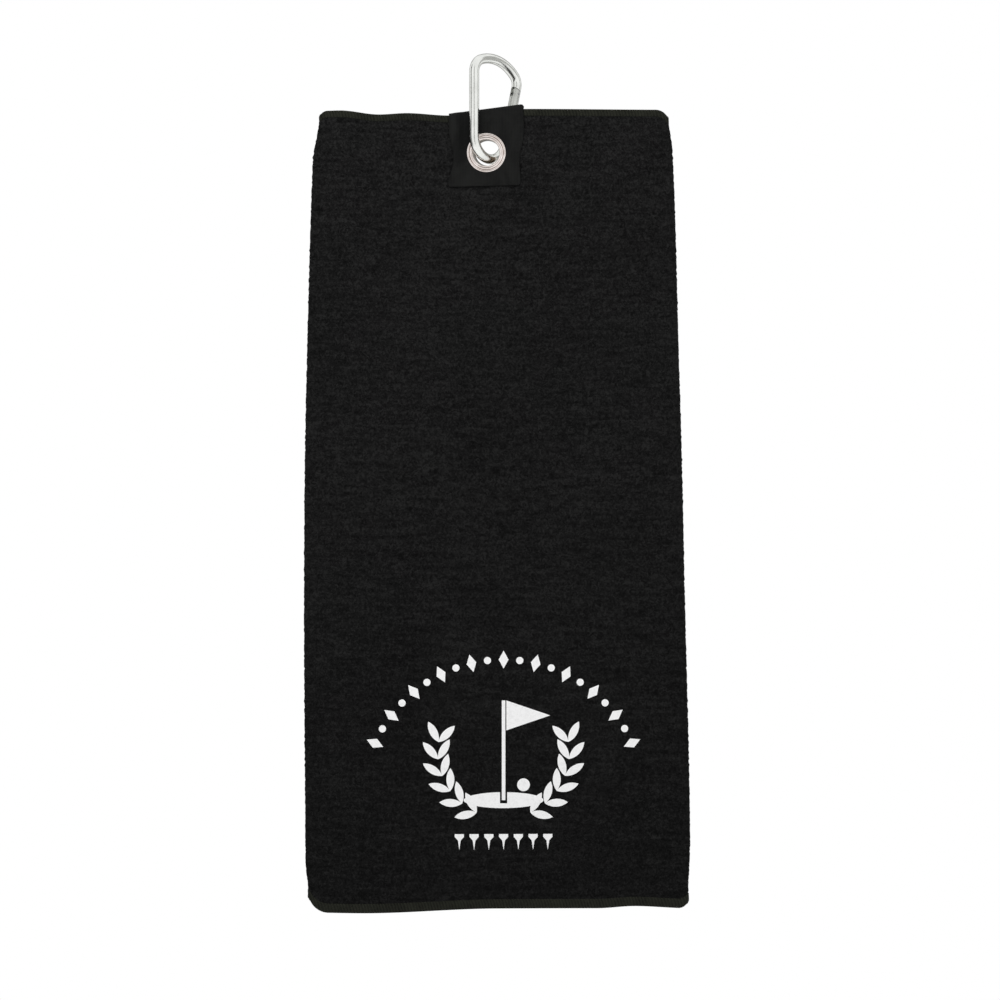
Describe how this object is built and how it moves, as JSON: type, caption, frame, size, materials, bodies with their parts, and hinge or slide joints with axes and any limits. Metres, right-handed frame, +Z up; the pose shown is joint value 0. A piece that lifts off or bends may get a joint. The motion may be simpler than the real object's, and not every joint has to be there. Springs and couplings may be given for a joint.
{
  "type": "golf towel",
  "caption": "Black golf towel folded in thirds, with a plain printed golf emblem, a rolled eyelet and a spring clip that hangs it from a bag",
  "frame": {"origin": "where the clip hangs: the inside of the top bend, on the rod's inner surface", "axes": "+X across the folded towel, to the right seen from the printed front; +Y from the printed front to the back; +Z up, along the towel"},
  "size_m": [0.1924, 0.0271, 0.4286],
  "materials": {
    "black_microfibre": "matte, short looped pile",
    "black_thread": "matte, overlocked",
    "black_tape": "smooth woven, slight sheen",
    "nickel_plate": "bright nickel",
    "polished_aluminium": "polished",
    "steel_pin": "plain",
    "white_print": "thin transfer film"
  },
  "bodies": {
    "clip": {"clip_frame": "polished_aluminium", "gate_pivot_rivet": "steel_pin"},
    "gate": {"clip_gate": "polished_aluminium", "gate_latch_pin": "steel_pin", "gate_spring": "steel_pin", "gate_plunger": "steel_pin"},
    "towel": {"towel_cloth": "black_microfibre", "overlock_top": "black_thread", "overlock_bottom": "black_thread", "overlock_flap_edge": "black_thread", "hanging_tab": "black_tape", "eyelet": "nickel_plate", "eyelet_washer": "nickel_plate", "emblem_print": "white_print"},
    "corner": {"flap_corner": "black_microfibre", "overlock_corner_side": "black_thread", "overlock_corner_hem": "black_thread"}
  },
  "joints": [
    {"name": "towel_swing", "type": "hinge", "parent": "clip", "child": "towel", "pos_m": [-0.0022, -0.00254, -0.0452], "axis": [0, 1, 0], "range_deg": [-35, 35]},
    {"name": "corner_turn", "type": "hinge", "parent": "towel", "child": "corner", "pos_m": [-0.08891, -0.00111, -0.2736], "axis": [0.5987, 0, -0.801], "range_deg": [0, 130]},
    {"name": "gate_open", "type": "hinge", "parent": "clip", "child": "gate", "pos_m": [0.00798, 0.00827, -0.03647], "axis": [0.7193, -0.6947, 0], "range_deg": [0, 24], "stiffness_Nm_per_rad": 0.02, "springref_deg": -20.05}
  ]
}
